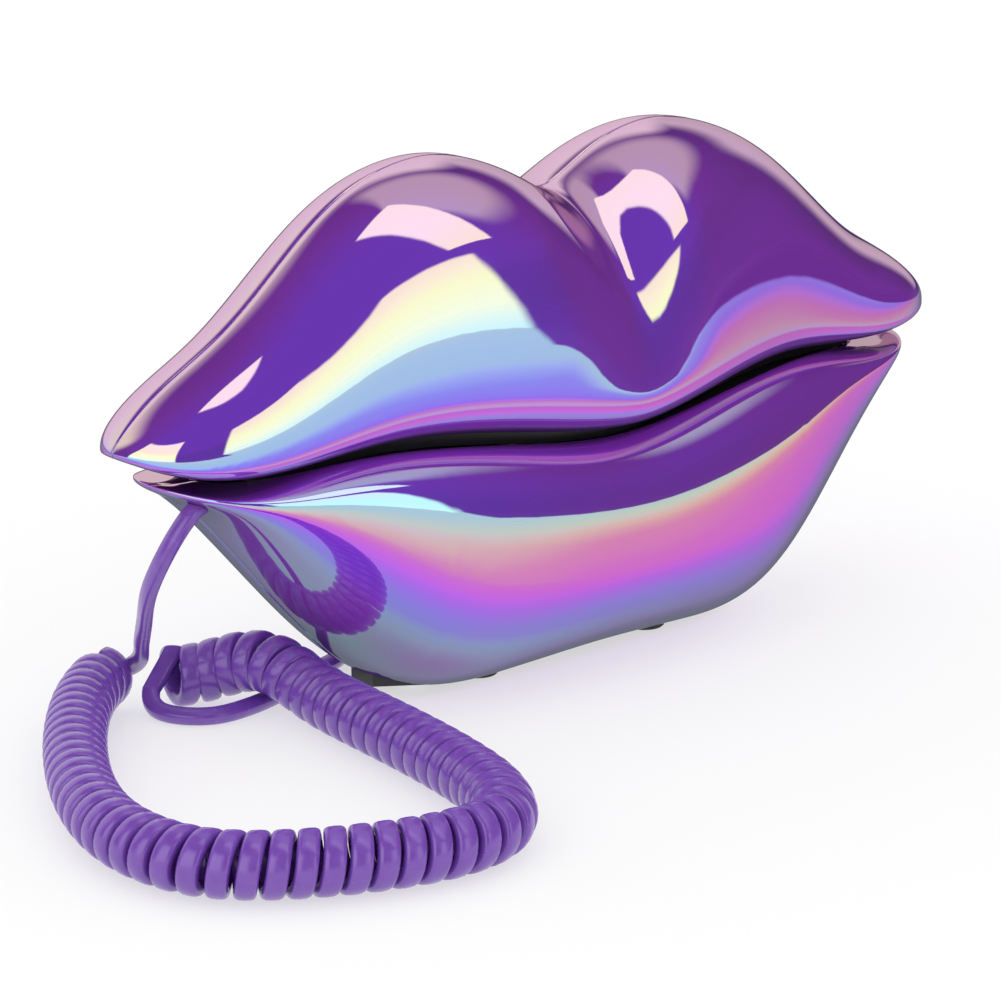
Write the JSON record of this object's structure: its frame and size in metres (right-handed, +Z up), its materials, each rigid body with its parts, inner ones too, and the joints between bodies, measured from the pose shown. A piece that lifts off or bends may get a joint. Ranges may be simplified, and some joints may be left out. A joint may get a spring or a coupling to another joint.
{
  "type": "novelty telephone",
  "caption": "Lips-shaped desk telephone: the upper lip is the handset with its keypad inside, the lower lip the base, joined by a coiled cord.",
  "frame": {"origin": "on the table plane under the middle of the base, at the centre of the underside's rest boss", "axes": "+X along the lips, -Y towards the front of the lips, +Z up"},
  "size_m": [0.2605, 0.1373, 0.1097],
  "materials": {
    "violet_shell": "iridescent mirror-like plating over moulded plastic",
    "black_plastic": "satin moulded plastic",
    "key_plastic": "satin moulded key caps",
    "black_rubber": "matte moulded rubber",
    "violet_cord": "soft satin cable jacket",
    "green_board": "solder-masked board",
    "steel": "plain bright steel",
    "clear_plastic": "pale moulded plastic"
  },
  "bodies": {
    "base": {"base_front_shell": "violet_shell", "base_rear_shell": "violet_shell", "cradle_tray": "black_plastic", "bottom_plate": "black_plastic", "foot_front_left": "black_rubber", "foot_front_right": "black_rubber", "foot_rear_left": "black_rubber", "foot_rear_right": "black_rubber", "base_screw_1": "steel", "base_screw_2": "steel", "base_screw_3": "steel", "base_screw_4": "steel", "base_circuit_board": "green_board", "ballast_weight": "steel", "ringer_sounder": "black_plastic", "line_socket": "black_plastic", "base_cord_socket": "black_plastic", "base_cord_plug": "clear_plastic", "ringer_volume_housing": "steel", "dial_mode_housing": "steel", "hook_switch": "black_plastic", "hook_spring": "steel", "handset_cord": "violet_cord"},
    "handset": {"handset_front_shell": "violet_shell", "handset_rear_shell": "violet_shell", "handset_face_plate": "black_plastic", "handset_cord_socket": "black_plastic", "handset_cord_plug": "clear_plastic", "receiver_gasket": "black_rubber", "receiver_capsule": "clear_plastic", "microphone_boot": "black_rubber", "microphone_capsule": "steel", "keypad_membrane": "black_rubber", "handset_circuit_board": "green_board", "handset_weight_plate": "steel", "handset_screw_1": "steel", "handset_screw_2": "steel", "handset_screw_3": "steel", "handset_screw_4": "steel"},
    "hook": {"hook_plunger": "key_plastic"},
    "ringer_volume_slider": {"ringer_volume_knob": "key_plastic"},
    "dial_mode_slider": {"dial_mode_knob": "key_plastic"},
    "key_1_button": {"key_1": "key_plastic"},
    "key_2_button": {"key_2": "key_plastic"},
    "key_3_button": {"key_3": "key_plastic"},
    "key_4_button": {"key_4": "key_plastic"},
    "key_5_button": {"key_5": "key_plastic"},
    "key_6_button": {"key_6": "key_plastic"},
    "key_7_button": {"key_7": "key_plastic"},
    "key_8_button": {"key_8": "key_plastic"},
    "key_9_button": {"key_9": "key_plastic"},
    "key_star_button": {"key_star": "key_plastic"},
    "key_0_button": {"key_0": "key_plastic"},
    "key_hash_button": {"key_hash": "key_plastic"},
    "key_redial_button": {"key_redial": "key_plastic"},
    "key_flash_button": {"key_flash": "key_plastic"},
    "key_mute_button": {"key_mute": "key_plastic"}
  },
  "joints": [
    {"name": "handset_lift", "type": "slide", "parent": "base", "child": "handset", "axis": [0, 0, 1], "range_m": [0, 0.12]},
    {"name": "hook_rise", "type": "slide", "parent": "base", "child": "hook", "axis": [0, 0, 1], "range_m": [0, 0.004], "deforming": ["hook_spring"]},
    {"name": "ringer_volume_slide", "type": "slide", "parent": "base", "child": "ringer_volume_slider", "axis": [1, 0, 0], "range_m": [0, 0.004]},
    {"name": "dial_mode_slide", "type": "slide", "parent": "base", "child": "dial_mode_slider", "axis": [1, 0, 0], "range_m": [0, 0.004]},
    {"name": "key_1_press", "type": "slide", "parent": "handset", "child": "key_1_button", "axis": [0, 0, 1], "range_m": [0, 0.0012]},
    {"name": "key_2_press", "type": "slide", "parent": "handset", "child": "key_2_button", "axis": [0, 0, 1], "range_m": [0, 0.0012]},
    {"name": "key_3_press", "type": "slide", "parent": "handset", "child": "key_3_button", "axis": [0, 0, 1], "range_m": [0, 0.0012]},
    {"name": "key_4_press", "type": "slide", "parent": "handset", "child": "key_4_button", "axis": [0, 0, 1], "range_m": [0, 0.0012]},
    {"name": "key_5_press", "type": "slide", "parent": "handset", "child": "key_5_button", "axis": [0, 0, 1], "range_m": [0, 0.0012]},
    {"name": "key_6_press", "type": "slide", "parent": "handset", "child": "key_6_button", "axis": [0, 0, 1], "range_m": [0, 0.0012]},
    {"name": "key_7_press", "type": "slide", "parent": "handset", "child": "key_7_button", "axis": [0, 0, 1], "range_m": [0, 0.0012]},
    {"name": "key_8_press", "type": "slide", "parent": "handset", "child": "key_8_button", "axis": [0, 0, 1], "range_m": [0, 0.0012]},
    {"name": "key_9_press", "type": "slide", "parent": "handset", "child": "key_9_button", "axis": [0, 0, 1], "range_m": [0, 0.0012]},
    {"name": "key_star_press", "type": "slide", "parent": "handset", "child": "key_star_button", "axis": [0, 0, 1], "range_m": [0, 0.0012]},
    {"name": "key_0_press", "type": "slide", "parent": "handset", "child": "key_0_button", "axis": [0, 0, 1], "range_m": [0, 0.0012]},
    {"name": "key_hash_press", "type": "slide", "parent": "handset", "child": "key_hash_button", "axis": [0, 0, 1], "range_m": [0, 0.0012]},
    {"name": "key_redial_press", "type": "slide", "parent": "handset", "child": "key_redial_button", "axis": [0, 0, 1], "range_m": [0, 0.0012]},
    {"name": "key_flash_press", "type": "slide", "parent": "handset", "child": "key_flash_button", "axis": [0, 0, 1], "range_m": [0, 0.0012]},
    {"name": "key_mute_press", "type": "slide", "parent": "handset", "child": "key_mute_button", "axis": [0, 0, 1], "range_m": [0, 0.0012]}
  ],
  "couplings": [
    {"joint": "hook_rise", "follows": "handset_lift", "ratio": 0.033333}
  ]
}
